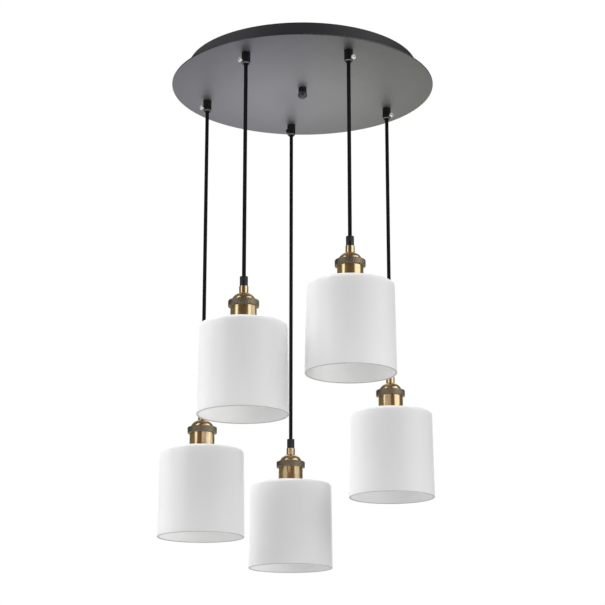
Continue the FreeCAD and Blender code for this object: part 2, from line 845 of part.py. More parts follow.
def glass_shade(pendant):
    """Opal glass: a tapered wall and a flat top of even thickness, rounded at shoulder and rim."""
    hole = "body_thread_radius + glass_hole_clearance"
    inner_top = "glass_top_radius - glass_wall"
    inner_rim = "glass_rim_radius - glass_wall"
    body = turned("glass_shade_%d" % pendant, [
        (inner_rim, GLASS_RIM),
        ("glass_rim_radius", GLASS_RIM),
        ("glass_top_radius", GLASS_TOP),
        (hole, GLASS_TOP),
        (hole, SHADE_RING_TOP),
        (inner_top, SHADE_RING_TOP),
    ])
    soften(body, "Fillet", "glass_shoulder_round", ring_at("glass_top_radius", GLASS_TOP))
    soften(body, "Fillet", "glass_inner_round", ring_at(inner_top, SHADE_RING_TOP))
    for radius in ("glass_rim_radius", inner_rim):
        soften(body, "Fillet", "glass_rim_round", ring_at(radius, GLASS_RIM))
    keep_lamp_piece(body, pendant)


# Build

for build_canopy_piece in (
    ceiling_bracket,
    centre_stud,
    stud_nut,
    canopy_pan,
    face_plate,
    cap_nut,
    cord_grips,
    grip_nuts,
    terminal_block,
    cord_tails,
):
    build_canopy_piece()

for build_pendant_piece in (
    set_screw,
    cord,
    cord_gland,
    holder_cap,
    knurled_ring,
    holder_body,
    lamp_socket,
    screw_shell,
    shade_ring,
    glass_shade,
):
    for pendant_number in PENDANTS:
        build_pendant_piece(pendant_number)

document.recompute()

for item in document.Objects:
    if "Invalid" in item.State or "Error" in item.State:
        raise RuntimeError(item.Label + " has failed")
for item in sub_parts:
    if item.Shape.isNull() or not item.Shape.isValid() or not item.Shape.Solids:
        raise RuntimeError(item.Label + " has no sound solid")

os.makedirs("parts", exist_ok=True)
for item in sub_parts:
    item.Shape.exportStep("parts/" + item.Label + ".step")
print(len(sub_parts), "sub-parts written")
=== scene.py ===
import json
import math

import bmesh
import bpy
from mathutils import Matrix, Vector


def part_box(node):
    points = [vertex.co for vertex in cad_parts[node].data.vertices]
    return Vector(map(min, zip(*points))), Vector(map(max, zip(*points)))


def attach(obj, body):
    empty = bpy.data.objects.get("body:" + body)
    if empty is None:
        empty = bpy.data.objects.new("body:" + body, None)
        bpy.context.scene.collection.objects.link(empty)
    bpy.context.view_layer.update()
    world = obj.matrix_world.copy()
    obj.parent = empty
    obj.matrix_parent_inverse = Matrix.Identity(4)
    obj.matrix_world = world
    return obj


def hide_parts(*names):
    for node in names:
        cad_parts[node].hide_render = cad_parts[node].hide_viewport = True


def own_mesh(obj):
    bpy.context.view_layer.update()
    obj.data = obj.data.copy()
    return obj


# Looks of the cluster pendant. Metres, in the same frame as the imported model: Z = 0 is the ceiling.

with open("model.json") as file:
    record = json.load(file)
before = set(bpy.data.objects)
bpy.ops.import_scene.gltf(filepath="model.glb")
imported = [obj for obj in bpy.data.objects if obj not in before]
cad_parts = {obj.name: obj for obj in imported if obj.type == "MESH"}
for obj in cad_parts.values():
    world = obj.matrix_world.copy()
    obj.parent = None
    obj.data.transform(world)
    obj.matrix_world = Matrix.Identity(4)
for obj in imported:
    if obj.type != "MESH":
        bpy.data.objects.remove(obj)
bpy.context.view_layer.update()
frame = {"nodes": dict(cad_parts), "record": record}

PENDANTS = (1, 2, 3, 4, 5)

# Camera: the photograph's frame, and where it was taken from
IMAGE_SIDE = 605.0
FOCAL_LENGTH = 1700.0
SENSOR_WIDTH = 36.0
CAMERA_PLACE = (0.0, -2.6207, -1.1138)
CAMERA_TILT = math.radians(15.25)

# Light: soft boxes, an even fill, and a dim hood that only gloss shows
LAMP_MIDDLE = -0.5
FILL = 0.59
FLOOR_LEVEL = -3.4
FLOOR_SIDE = 90.0
HOOD_GLOW = 0.08
HOOD_RADIUS = 2.6
HOOD_LOW, HOOD_HIGH = -0.8, 2.2
HOOD_OPEN_FROM = 150.0
HOOD_STEPS = 60
# Name: azimuth in degrees from the camera's side, distance, level, width, height, radiance, shown in gloss
SOFTBOXES = {
    "softbox_left": (-57.0, 1.9, 0.50, 0.85, 2.3, 1.7, True),
    "softbox_right": (63.0, 1.9, 0.50, 2.10, 2.3, 1.65, True),
    "softbox_far_left": (-104.0, 2.2, 0.90, 1.80, 1.8, 6.8, False),
}

# Cords: their weave, and the gaps that keep a free cord off the gland's floor and off its own tail
CORD_RADIUS = 0.003
CORD_CLEARANCE = 0.0001
CORD_IN_GLAND = 0.008
CORD_END_GAP = 0.0002
WEAVE_THREADS = 20
WEAVE_PITCH = 0.018
TAIL_GAP = 0.0012
TAIL_IN_BLOCK = 0.0025
# How far before and after its corner a tail bends
TAIL_EASE = 0.022

# Terminal block: its windows' places aside of the middle, and its screw wells
WINDOW_ASIDE = 0.012
WELL_SPACING = 0.011
WELL_COUNT = 5
WELL_DEPTH = 0.005
WELL_TURN = 0.6

# Set screws: the side that each one faces, in degrees, and the one whose head doesn't show as bright
SCREW_SIDES = {1: 313.0, 2: 212.0, 3: 316.0, 4: 212.0, 5: 240.0}
SCREW_ABOVE_MOUTH = 0.0063
DARK_SCREW = 5

# Radii of edges, from fine to soft, and the clearance of threads and turned fits
FINE_EDGE = 0.0002
EDGE = 0.0003
SOFT_EDGE = 0.0006
FIT = 0.00005

# Where the plate's painted reflection tint turns from blue to green across, and where its painted reflection
# is lightest
PLATE_PAINTED_TINT_TURN = (-0.05, 0.17)
PLATE_PAINTED_GLEAM = (-0.01, 0.045, 0.0)


# Meshes

def add_object(name, mesh, place=(0, 0, 0), turns=(0, 0, 0)):
    """A new object that shows a mesh, at a place and turned about X, Y and Z."""
    item = bpy.data.objects.new(name, mesh)
    item.location = place
    item.rotation_euler = turns
    bpy.context.scene.collection.objects.link(item)
    return item


def mesh_from(name, points, faces, materials, sharp_angle=35.0):
    """A smooth mesh, its like points joined, with crisp edges above an angle in degrees."""
    mesh = bpy.data.meshes.new(name)
    mesh.from_pydata(points, [], faces)
    work = bmesh.new()
    work.from_mesh(mesh)
    bmesh.ops.remove_doubles(work, verts=work.verts, dist=1e-7)
    bmesh.ops.recalc_face_normals(work, faces=work.faces)
    work.to_mesh(mesh)
    work.free()
    for material in materials:
        mesh.materials.append(material)
    mesh.shade_smooth()
    mesh.set_sharp_from_angle(angle=math.radians(sharp_angle))
    return mesh


def rounded(corners, steps=5):
    """The points of a closed outline of (radius, height) corners; a third entry rounds its corner."""
    points = []
    for index, corner in enumerate(corners):
        here = Vector(corner[:2])
        if len(corner) == 2:
            points.append(here)
            continue
        back = (Vector(corners[index - 1][:2]) - here).normalized()
        ahead = (Vector(corners[(index + 1) % len(corners)][:2]) - here).normalized()
        half = back.angle(ahead) / 2
        centre = here + (back + ahead).normalized() * (corner[2] / math.sin(half))
        first = here + back * (corner[2] / math.tan(half)) - centre
        last = here + ahead * (corner[2] / math.tan(half)) - centre
        start = math.atan2(first.y, first.x)
        sweep = math.remainder(math.atan2(last.y, last.x) - start, math.tau)
        for step in range(steps + 1):
            angle = start + sweep * step / steps
            points.append(centre + Vector((math.cos(angle), math.sin(angle))) * corner[2])
    return points


def arc(start, end, radius, steps):
    """Points from start to end on the arc that bulges away from the axis, without its ends."""
    start, end = Vector(start), Vector(end)
    half = (end - start) / 2
    inward = Vector((half.y, -half.x)).normalized()
    if inward.x > 0:
        inward = -inward
    centre = start + half + inward * math.sqrt(radius ** 2 - half.length ** 2)
    first = math.atan2(start.y - centre.y, start.x - centre.x)
    sweep = math.remainder(math.atan2(end.y - centre.y, end.x - centre.x) - first, math.tau)
    turns = [first + sweep * step / steps for step in range(1, steps)]
    return [tuple(centre + Vector((math.cos(turn), math.sin(turn))) * radius) for turn in turns]


def ladder(radius, low, high, step):
    """Evenly spaced points of an outline straight up or down from low to high, without the ends."""
    count = math.ceil(abs(high - low) / step)
    return [(radius, low + (high - low) * index / count) for index in range(1, count)]


def lathe(name, corners, materials, segments=96, shape=None, twist=None, angles=None):
    """A turned mesh from a closed outline of (radius, height) corners.

    shape(radius, height, angle) may give each point another radius, twist(height) turns each level by
    an angle, and angles are the turns to use in place of even segments.
    """
    outline = rounded(corners)
    if angles is None:
        angles = [math.tau * step / segments for step in range(segments)]
    points = []
    for angle in angles:
        for spot in outline:
            radius = shape(spot.x, spot.y, angle) if shape else spot.x
            turn = angle + (twist(spot.y) if twist else 0.0)
            points.append((radius * math.cos(turn), radius * math.sin(turn), spot.y))
    faces = []
    count = len(outline)
    for turn in range(len(angles)):
        this, following = turn * count, (turn + 1) % len(angles) * count
        for index in range(count):
            after = (index + 1) % count
            faces.append((this + index, following + index, following + after, this + after))
    return mesh_from(name, points, faces, materials)


def smooth_line(route):
    """The points of the smooth line that a route's points control."""
    curve = bpy.data.curves.new("route", "CURVE")
    curve.dimensions = "3D"
    curve.resolution_u = 16
    spline = curve.splines.new("NURBS")
    spline.points.add(len(route) - 1)
    for point, place in zip(spline.points, route):
        point.co = (*place, 1)
    spline.order_u = 3
    spline.use_endpoint_u = True
    holder = add_object("route", curve)
    mesh = bpy.data.meshes.new_from_object(holder)
    line = [point.co.copy() for point in mesh.vertices]
    bpy.data.objects.remove(holder)
    bpy.data.meshes.remove(mesh)
    bpy.data.curves.remove(curve)
    return line


def tube(name, line, radius, material, sides=24):
    """A round tube along a line, with its length and its turn as the texture's two directions."""
    points, faces, places = [], [], []
    across = None
    travelled = 0.0
    for index, spot in enumerate(line):
        before, after = line[max(index - 1, 0)], line[min(index + 1, len(line) - 1)]
        along = (after - before).normalized()
        if across is None:
            across = along.orthogonal().normalized()
        across = (across - along * across.dot(along)).normalized()
        aside = along.cross(across)
        travelled += (spot - before).length
        for side in range(sides):
            turn = math.tau * side / sides
            points.append(spot + (across * math.cos(turn) + aside * math.sin(turn)) * radius)
        places.append(travelled)
    for index in range(len(line) - 1):
        for side in range(sides):
            this, other = index * sides, index * sides + sides
            after = (side + 1) % sides
            faces.append((this + side, this + after, other + after, other + side))
    faces.append(tuple(reversed(range(sides))))
    faces.append(tuple(range(len(points) - sides, len(points))))
    mesh = mesh_from(name, points, faces, [material])
    layer = mesh.uv_layers.new(name="length")
    for face in mesh.polygons:
        turns = [mesh.loops[loop].vertex_index % sides for loop in face.loop_indices]
        wraps = max(turns) - min(turns) > sides / 2
        for loop, turn in zip(face.loop_indices, turns):
            row = mesh.loops[loop].vertex_index // sides
            share = (turn + sides if wraps and turn == 0 else turn) / sides
            layer.data[loop].uv = (share, places[row])
    return mesh


# Materials

class Paint:
    """A material in the making: its shader, and short ways to add the nodes before it."""

    def __init__(self, name, color, roughness, metallic=0.0, **inputs):
        self.material = bpy.data.materials.new(name)
        self.material.use_nodes = True
        self.material.diffuse_color = (*color, 1)
        self.tree = self.material.node_tree
        self.shader = self.tree.nodes["Principled BSDF"]
        self.set("Base Color", (*color, 1))
        self.set("Roughness", roughness)
        self.set("Metallic", metallic)
        for socket, value in inputs.items():
            self.set(socket.replace("_", " "), value)
        texture = self.add("ShaderNodeTexCoord")
        self.where, self.normal = texture.outputs["Object"], texture.outputs["Normal"]

    def set(self, socket, value):
        """Set a socket of the shader to a value that is the same all over."""
        self.shader.inputs[socket].default_value = value

    def add(self, kind, **settings):
        """A new node with these settings."""
        node = self.tree.nodes.new(kind)
        for name, value in settings.items():
            setattr(node, name, value)
        return node

    def link(self, source, target):
        """Join two sockets."""
        self.tree.links.new(source, target)

    def stretched(self, scale):
        """Places stretched by a scale for each direction."""
        node = self.add("ShaderNodeMapping")
        node.inputs["Scale"].default_value = scale
        self.link(self.where, node.inputs["Vector"])
        return node.outputs["Vector"]

    def part(self, source, axis):
        """One of the three numbers of a place or a direction."""
        node = self.add("ShaderNodeSeparateXYZ")
        self.link(source, node.inputs["Vector"])
        return node.outputs[axis]

    def facing(self, axis):
        """1 where the surface faces along an axis of its piece, either way, and 0 where it lies along it."""
        return self.math("ABSOLUTE", self.part(self.normal, axis))

    def noise(self, scale, detail=2.0, source=None):
        """A soft noise from 0 to 1."""
        node = self.add("ShaderNodeTexNoise")
        node.inputs["Scale"].default_value = scale
        node.inputs["Detail"].default_value = detail
        self.link(source or self.where, node.inputs["Vector"])
        return node.outputs["Fac"]

    def distance(self, middle):
        """How far a place is from another one."""
        node = self.add("ShaderNodeVectorMath", operation="DISTANCE")
        node.inputs[1].default_value = middle
        self.link(self.where, node.inputs[0])
        return node.outputs["Value"]

    def math(self, operation, first, second=None):
        """The outcome of a sum on sockets or numbers."""
        node = self.add("ShaderNodeMath", operation=operation)
        for index, value in enumerate((first, second)):
            if value is None:
                continue
            if isinstance(value, (int, float)):
                node.inputs[index].default_value = value
            else:
                self.link(value, node.inputs[index])
        return node.outputs["Value"]

    def mix(self, share, first, second, blend="MIX"):
        """A colour between two colours or colour sockets, by a share from 0 to 1."""
        node = self.add("ShaderNodeMixRGB", blend_type=blend)
        self.link(share, node.inputs["Fac"])
        for name, value in (("Color1", first), ("Color2", second)):
            if isinstance(value, tuple):
                node.inputs[name].default_value = (*value, 1)
            else:
                self.link(value, node.inputs[name])
        return node.outputs["Color"]

    def ramp(self, source, low, high, start=0.3, end=0.7):
        """Colours or numbers between low and high as the source goes from start to end."""
        node = self.add("ShaderNodeMapRange")
        node.inputs["From Min"].default_value = start
        node.inputs["From Max"].default_value = end
        self.link(source, node.inputs["Value"])
        if isinstance(low, tuple):
            return self.mix(node.outputs["Result"], low, high)
        node.inputs["To Min"].default_value = low
        node.inputs["To Max"].default_value = high
        return node.outputs["Result"]

    def vary(self, socket, source, low, high, start=0.3, end=0.7):
        """Let a source drive a socket of the shader between two values."""
        self.link(self.ramp(source, low, high, start, end), self.shader.inputs[socket])

    def bump(self, source, depth, strength=1.0):
        """Raise the surface by a depth in metres where the source is 1."""
        node = self.add("ShaderNodeBump")
        node.inputs["Strength"].default_value = strength
        node.inputs["Distance"].default_value = depth
        self.link(source, node.inputs["Height"])
        self.link(node.outputs["Normal"], self.shader.inputs["Normal"])


def plate_with_painted_light():
    """Satin gunmetal with painted reflection, lighter round its middle and darker towards its rim, tinted
    from blue to green across, and painted shade on its edge.
    """
    paint = Paint("plate_with_painted_light", (0.42, 0.42, 0.43), 0.5, metallic=1.0)
    across = paint.part(paint.where, "X")
    # Painted reflection: a blue to green tint across, lighter in the middle and darker at the rim.
    middle = paint.ramp(across, (0.445, 0.44, 0.476), (0.414, 0.419, 0.393), *PLATE_PAINTED_TINT_TURN)
    rim = paint.ramp(across, (0.25, 0.245, 0.27), (0.24, 0.245, 0.225), *PLATE_PAINTED_TINT_TURN)
    painted_gleam_falloff = paint.ramp(paint.distance(PLATE_PAINTED_GLEAM), 0.0, 1.0, 0.07, 0.26)
    # Painted shade: the plate's cut edge, where it faces sideways, is darkened.
    painted_edge_shade = paint.ramp(paint.facing("Z"), 1.0, 0.0, 0.6, 0.97)
    tone = paint.mix(painted_edge_shade, paint.mix(painted_gleam_falloff, middle, rim), (0.09, 0.09, 0.094))
    paint.link(tone, paint.shader.inputs["Base Color"])
    paint.vary("Roughness", paint.noise(40.0, 4.0), 0.48, 0.53)
    paint.bump(paint.noise(2500.0, 2.0), 0.0000015)
    return paint.material


def black_enamel():
    """Baked black enamel with a faint orange peel."""
    paint = Paint("black_enamel", (0.006, 0.006, 0.007), 0.36, Specular_IOR_Level=0.35)
    paint.vary("Roughness", paint.noise(60.0, 4.0), 0.33, 0.40)
    paint.bump(paint.noise(1400.0, 2.0), 0.000012)
    return paint.material


def polished_black():
    """Glossy black lacquer of the ball nut."""
    paint = Paint(
        "polished_black", (0.006, 0.006, 0.007), 0.3,
        Coat_Weight=1.0, Coat_IOR=1.8, Coat_Roughness=0.24,
    )
    paint.vary("Roughness", paint.noise(60.0, 4.0), 0.26, 0.34)
    paint.bump(paint.noise(700.0, 2.0), 0.000004)
    return paint.material


def pan_enamel():
    """The pan's satin enamel, a little greyer than the fittings'."""
    paint = Paint("pan_enamel", (0.031, 0.030, 0.034), 0.45, Specular_IOR_Level=0.15)
    paint.vary("Roughness", paint.noise(60.0, 4.0), 0.42, 0.50)
    paint.bump(paint.noise(1400.0, 2.0), 0.000012)
    return paint.material


def black_plastic():
    """Moulded black plastic with a fine matt grain."""
    paint = Paint("black_plastic", (0.009, 0.009, 0.010), 0.36)
    paint.vary("Roughness", paint.noise(90.0, 3.0), 0.33, 0.40)
    paint.bump(paint.noise(3000.0, 2.0), 0.00001)
    return paint.material


def turned_metal(name, low, high, roughness, lines, metallic=1.0, painted_reflection_tint=None, **coat):
    """Turned metal: fine lines around the axis, a slight change of tone, and a painted reflection tint where
    it faces front and behind.
    """
    paint = Paint(name, high, roughness, metallic, **coat)
    tone = paint.ramp(paint.noise(55.0, 4.0), low, high, 0.25, 0.65)
    # Painted reflection: a redder tint where the surface faces front and behind.
    if painted_reflection_tint:
        tone = paint.mix(paint.ramp(paint.facing("X"), 1.0, 0.0, 0.10, 0.42), tone, painted_reflection_tint, "MULTIPLY")
    paint.link(tone, paint.shader.inputs["Base Color"])
    grain = paint.noise(1.0, 3.0, paint.stretched((60.0, 60.0, 5000.0)))
    paint.vary("Roughness", grain, roughness - 0.04, roughness + 0.06)
    paint.bump(grain, lines)
    return paint.material


def satin_brass():
    """Lacquered antique brass of the cap and the body, with a painted reflection tint."""
    return turned_metal(
        "satin_brass", (0.50, 0.325, 0.090), (0.61, 0.425, 0.140), 0.22, 0.000004,
        metallic=0.85, painted_reflection_tint=(0.90, 0.64, 0.37), Coat_Weight=1.0, Coat_IOR=2.6, Coat_Roughness=0.14,
    )


def antique_bronze():
    """Darker, browned metal of the knurled ring."""
    return turned_metal("antique_bronze", (0.20, 0.165, 0.115), (0.31, 0.262, 0.195), 0.5, 0.00001)


def shell_brass():
    """Bright rolled sheet of the screw shell."""
    return turned_metal("shell_brass", (0.80, 0.60, 0.26), (0.87, 0.69, 0.34), 0.22, 0.000003)


def zinc_steel():
    """Zinc-plated steel with a cloudy spangle."""
    paint = Paint("zinc_steel", (0.62, 0.63, 0.65), 0.34, metallic=1.0)
    paint.vary("Base Color", paint.noise(120.0, 3.0), (0.52, 0.54, 0.57), (0.68, 0.68, 0.66))
    paint.vary("Roughness", paint.noise(200.0, 3.0), 0.27, 0.42)
    paint.bump(paint.noise(500.0, 3.0), 0.00001)
    return paint.material


def nickel():
    """Bright nickel plating."""
    paint = Paint("nickel", (0.90, 0.90, 0.89), 0.3, metallic=1.0)
    paint.vary("Roughness", paint.noise(400.0, 3.0), 0.26, 0.36)
    paint.bump(paint.noise(1500.0, 2.0), 0.000004)
    return paint.material


def bright_zinc():
    """Pale zinc plating of the set screws' heads."""
    paint = Paint("bright_zinc", (0.97, 0.97, 0.96), 0.4, metallic=0.5)
    paint.vary("Roughness", paint.noise(400.0, 3.0), 0.36, 0.46)
    paint.bump(paint.noise(1500.0, 2.0), 0.000004)
    return paint.material


def porcelain():
    """Glazed white porcelain."""
    paint = Paint("porcelain", (0.86, 0.85, 0.81), 0.16, Coat_Weight=0.4, Coat_Roughness=0.08)
    paint.vary("Base Color", paint.noise(90.0, 3.0), (0.83, 0.82, 0.78), (0.88, 0.87, 0.84))
    paint.bump(paint.noise(300.0, 2.0), 0.00002)
    return paint.material


def opal_glass(name, painted_glow):
    """White opal glass: light spreads in its depth, and a painted glow can be added."""
    paint = Paint(
        name, (0.92, 0.92, 0.915), 0.28, IOR=1.34,
        Subsurface_Weight=0.9, Subsurface_Scale=0.016, Emission_Strength=painted_glow,
    )
    paint.set("Emission Color", (1, 1, 1, 1))
    paint.set("Subsurface Radius", (1.0, 1.0, 0.96))
    paint.vary("Roughness", paint.noise(6.0, 1.0), 0.27, 0.29, 0.0, 1.0)
    return paint.material


def chamfer_painted_highlight():
    """The grips' turned chamfer: a lighter grey metal than the enamel, a painted highlight."""
    paint = Paint("chamfer_painted_highlight", (0.22, 0.22, 0.225), 0.3, metallic=0.9)
    paint.vary("Roughness", paint.noise(700.0, 3.0), 0.24, 0.4)
    paint.bump(paint.noise(900.0, 2.0), 0.000008)
    return paint.material


def glass_edge():
    """A grey band round the rim's lowest edge."""
    paint = Paint("glass_edge", (0.60, 0.61, 0.62), 0.25)
    paint.vary("Roughness", paint.noise(400.0, 3.0), 0.2, 0.34)
    paint.bump(paint.noise(900.0, 2.0), 0.00001)
    return paint.material


def woven_cord():
    """Black textile sleeve: two sets of threads that cross as they wind round the cord."""
    paint = Paint("woven_cord", (0.006, 0.006, 0.007), 0.85, Specular_IOR_Level=0.12)
    spread = paint.add("ShaderNodeUVMap", uv_map="length").outputs["UV"]
    turn = paint.math("MULTIPLY", paint.part(spread, "X"), WEAVE_THREADS * math.tau)
    rise = paint.math("MULTIPLY", paint.part(spread, "Y"), WEAVE_THREADS * math.tau / WEAVE_PITCH)
    right = paint.math("SINE", paint.math("ADD", turn, rise))
    left = paint.math("SINE", paint.math("SUBTRACT", turn, rise))
    weave = paint.math("MAXIMUM", right, left)
    paint.vary("Base Color", weave, (0.003, 0.003, 0.004), (0.010, 0.010, 0.011), -0.2, 1.0)
    paint.bump(weave, 0.000012, 0.5)
    return paint.material


# Camera, light and surroundings

def add_camera():
    """The camera, in front of the lamp, below it, and tilted up."""
    data = bpy.data.cameras.new("camera")
    data.sensor_width = SENSOR_WIDTH
    data.lens = FOCAL_LENGTH / IMAGE_SIDE * SENSOR_WIDTH
    camera = add_object("camera", data, CAMERA_PLACE)
    camera.rotation_euler = (math.pi / 2 + CAMERA_TILT, 0, 0)
    bpy.context.scene.camera = camera


def around(azimuth, distance, height):
    """A place at an azimuth from the camera's side of the lamp's axis."""
    turn = math.radians(azimuth)
    return Vector((math.sin(turn) * distance, -math.cos(turn) * distance, height))


def add_softbox(name, azimuth, distance, level, width, height, radiance, in_gloss):
    """A soft box that faces the middle of the lamp."""
    data = bpy.data.lights.new(name, "AREA")
    data.shape = "RECTANGLE"
    data.size, data.size_y = width, height
    data.energy = radiance * math.pi * width * height
    place = around(azimuth, distance, level)
    light = add_object(name, data, place)
    light.rotation_euler = (Vector((0, 0, LAMP_MIDDLE)) - place).to_track_quat("-Z", "Y").to_euler()
    light.visible_camera = False
    light.visible_glossy = in_gloss


def glow(name, strength):
    """An evenly glowing material."""
    material = bpy.data.materials.new(name)
    material.use_nodes = True
    tree = material.node_tree
    tree.nodes.clear()
    emission = tree.nodes.new("ShaderNodeEmission")
    emission.inputs["Strength"].default_value = strength
    output = tree.nodes.new("ShaderNodeOutputMaterial")
    tree.links.new(emission.outputs[0], output.inputs["Surface"])
    return material


def add_hood():
    """A dim hood round the lamp, open behind it, that only gloss shows, as it shows a studio's walls."""
    points, faces = [(0, 0, HOOD_HIGH)], []
    for step in range(HOOD_STEPS + 1):
        azimuth = HOOD_OPEN_FROM * (2 * step / HOOD_STEPS - 1)
        points += [around(azimuth, HOOD_RADIUS, level) for level in (HOOD_LOW, HOOD_HIGH)]
    for step in range(HOOD_STEPS):
        this = 1 + 2 * step
        faces += [(this, this + 2, this + 3, this + 1), (0, this + 1, this + 3)]
    hood = add_object("hood", mesh_from("hood", points, faces, [glow("hood", HOOD_GLOW)]))
    hood.visible_camera = False
    hood.visible_diffuse = False
    hood.visible_transmission = False
    hood.visible_shadow = False


def add_floor():
    """A wide pale floor."""
    side = FLOOR_SIDE / 2
    corners = [(-side, -side, 0), (side, -side, 0), (side, side, 0), (-side, side, 0)]
    paint = Paint("floor", (0.86, 0.86, 0.86), 0.8)
    paint.vary("Roughness", paint.noise(2.0), 0.75, 0.85)
    mesh = mesh_from("floor", corners, [(0, 1, 2, 3)], [paint.material])
    add_object("floor", mesh, (0, 0, FLOOR_LEVEL))


def add_sky():
    """White where the camera, gloss or glass looks at it, and a soft fill light for everything else."""
    world = bpy.data.worlds.new("studio")
    world.use_nodes = True
    bpy.context.scene.world = world
    tree = world.node_tree
    tree.nodes.clear()
    rays = tree.nodes.new("ShaderNodeLightPath")
    seen = rays.outputs["Is Camera Ray"]
    for ray in ("Is Glossy Ray", "Is Transmission Ray"):
        either = tree.nodes.new("ShaderNodeMath")
        either.operation = "MAXIMUM"
        tree.links.new(seen, either.inputs[0])
        tree.links.new(rays.outputs[ray], either.inputs[1])
        seen = either.outputs["Value"]
    mix = tree.nodes.new("ShaderNodeMixShader")
    tree.links.new(seen, mix.inputs[0])
    for index, strength in ((1, FILL), (2, 1.0)):
        light = tree.nodes.new("ShaderNodeBackground")
        light.inputs["Color"].default_value = (1, 1, 1, 1)
        light.inputs["Strength"].default_value = strength
        tree.links.new(light.outputs["Background"], mix.inputs[index])
    output = tree.nodes.new("ShaderNodeOutputWorld")
    tree.links.new(mix.outputs[0], output.inputs["Surface"])


add_camera()
add_sky()
add_floor()
add_hood()
for name, values in SOFTBOXES.items():
    add_softbox(name, *values)
bpy.context.scene.view_settings.view_transform = "Standard"


# Cords

def centre_of(node):
    """The middle of a node's box, seen from above."""
    low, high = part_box(node)
    return (low.x + high.x) / 2, (low.y + high.y) / 2


def add_cord(pendant, material):
    """The free cord, taut under its lamp, from the grip's mouth to the floor of the gland's bore."""
    low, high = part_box("cord_%d" % pendant)
    x, y = centre_of("cord_%d" % pendant)
    gland_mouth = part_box("cord_gland_%d" % pendant)[1].z
    line = smooth_line([(x, y, high.z), (x, y, gland_mouth), (x, y, low.z + CORD_END_GAP)])
    cord = add_object("cord_sleeve_%d" % pendant, tube("cord_sleeve", line, CORD_RADIUS, material))
    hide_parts("cord_%d" % pendant)
    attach(cord, "cord_%d" % pendant)
    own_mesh(cord)


def add_tail(pendant, material):
    """A cord's upper end inside the canopy: up through its grip and level to the terminal block.

    It starts a little inside the grip, clear of the free cord, whose top tilts there when the lamp swings.
    """
    block_low, block_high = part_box("terminal_block")
    x, y = centre_of("cord_%d" % pendant)
    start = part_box("cord_%d" % pendant)[1].z + TAIL_GAP
    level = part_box("cord_tails")[1].z - CORD_RADIUS
    front, back = block_low.y + TAIL_IN_BLOCK, block_high.y - TAIL_IN_BLOCK
    middle = (front + back) / 2
    end = {
        1: (WINDOW_ASIDE, front),
        2: (-WINDOW_ASIDE, front),
        3: (block_high.x - TAIL_IN_BLOCK, middle),
        4: (block_low.x + TAIL_IN_BLOCK, middle),
        5: (-WINDOW_ASIDE, back),
    }[pendant]
    corner, end = Vector((x, y, level)), Vector((*end, level))
    onward = (end - corner).normalized()
    in_shank = corner - Vector((0, 0, TAIL_EASE))
    line = smooth_line([(x, y, start), in_shank, corner, corner + onward * TAIL_EASE, end])
    tail = add_object("cord_tail_%d" % pendant, tube("cord_tail", line, CORD_RADIUS, material))
    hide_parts("cord_tails")
    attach(tail, "canopy")


cord_material = woven_cord()
for pendant in PENDANTS:
    add_cord(pendant, cord_material)
    add_tail(pendant, cord_material)


# Levels of a lamp, down from the top of its gland, and its radii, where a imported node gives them

ORIGIN_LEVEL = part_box("cord_gland_1")[1].z


def low_level(node):
    """The bottom of the first lamp's node, from the top of its gland."""
    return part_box(node + "_1")[0].z - ORIGIN_LEVEL


def high_level(node):
    """The top of the first lamp's node, from the top of its gland."""
    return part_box(node + "_1")[1].z - ORIGIN_LEVEL


def radius_of(node):
    """Half of the width of a turned node."""
    low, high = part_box(node)
    return (high.x - low.x) / 2


NECK_HEIGHT = 0.011
NECK_TOP = high_level("holder_cap")
DOME_TOP = NECK_TOP - NECK_HEIGHT
CAP_BOTTOM = low_level("holder_cap")
KNURL_TOP, KNURL_BOTTOM = high_level("knurled_ring"), low_level("knurled_ring")
BODY_TOP, BODY_BOTTOM = high_level("holder_body"), low_level("holder_body")
GLASS_TOP, GLASS_RIM = high_level("glass_shade"), low_level("glass_shade")
RING_TOP, RING_BOTTOM = high_level("shade_ring"), low_level("shade_ring")
CAVITY_TOP = high_level("screw_shell")

GLAND_RADIUS = radius_of("cord_gland_1")
GLAND_THREAD_RADIUS = 0.0045
NECK_RADIUS = 0.0072
DOME_RADIUS = radius_of("holder_cap_1")
DOME_LIP = 0.0016
DOME_CURVE = 0.015
CAP_THREAD_RADIUS = 0.0174
SHEET = 0.0012
KNURL_RADIUS = 0.0235
BODY_RADIUS = radius_of("holder_body_1")
BODY_THREAD_RADIUS = 0.0184
BODY_MOUTH_RADIUS = 0.0148
PORCELAIN_RADIUS = radius_of("lamp_socket_1")
SHELL_RADIUS = radius_of("screw_shell_1")
RING_RADIUS = radius_of("shade_ring_1")
GLASS_RIM_RADIUS = radius_of("glass_shade_1")
GLASS_TOP_RADIUS = 0.0672
GLASS_WALL = 0.003
GLASS_HOLE_RADIUS = BODY_THREAD_RADIUS + 0.0005


# Pieces of a lamp

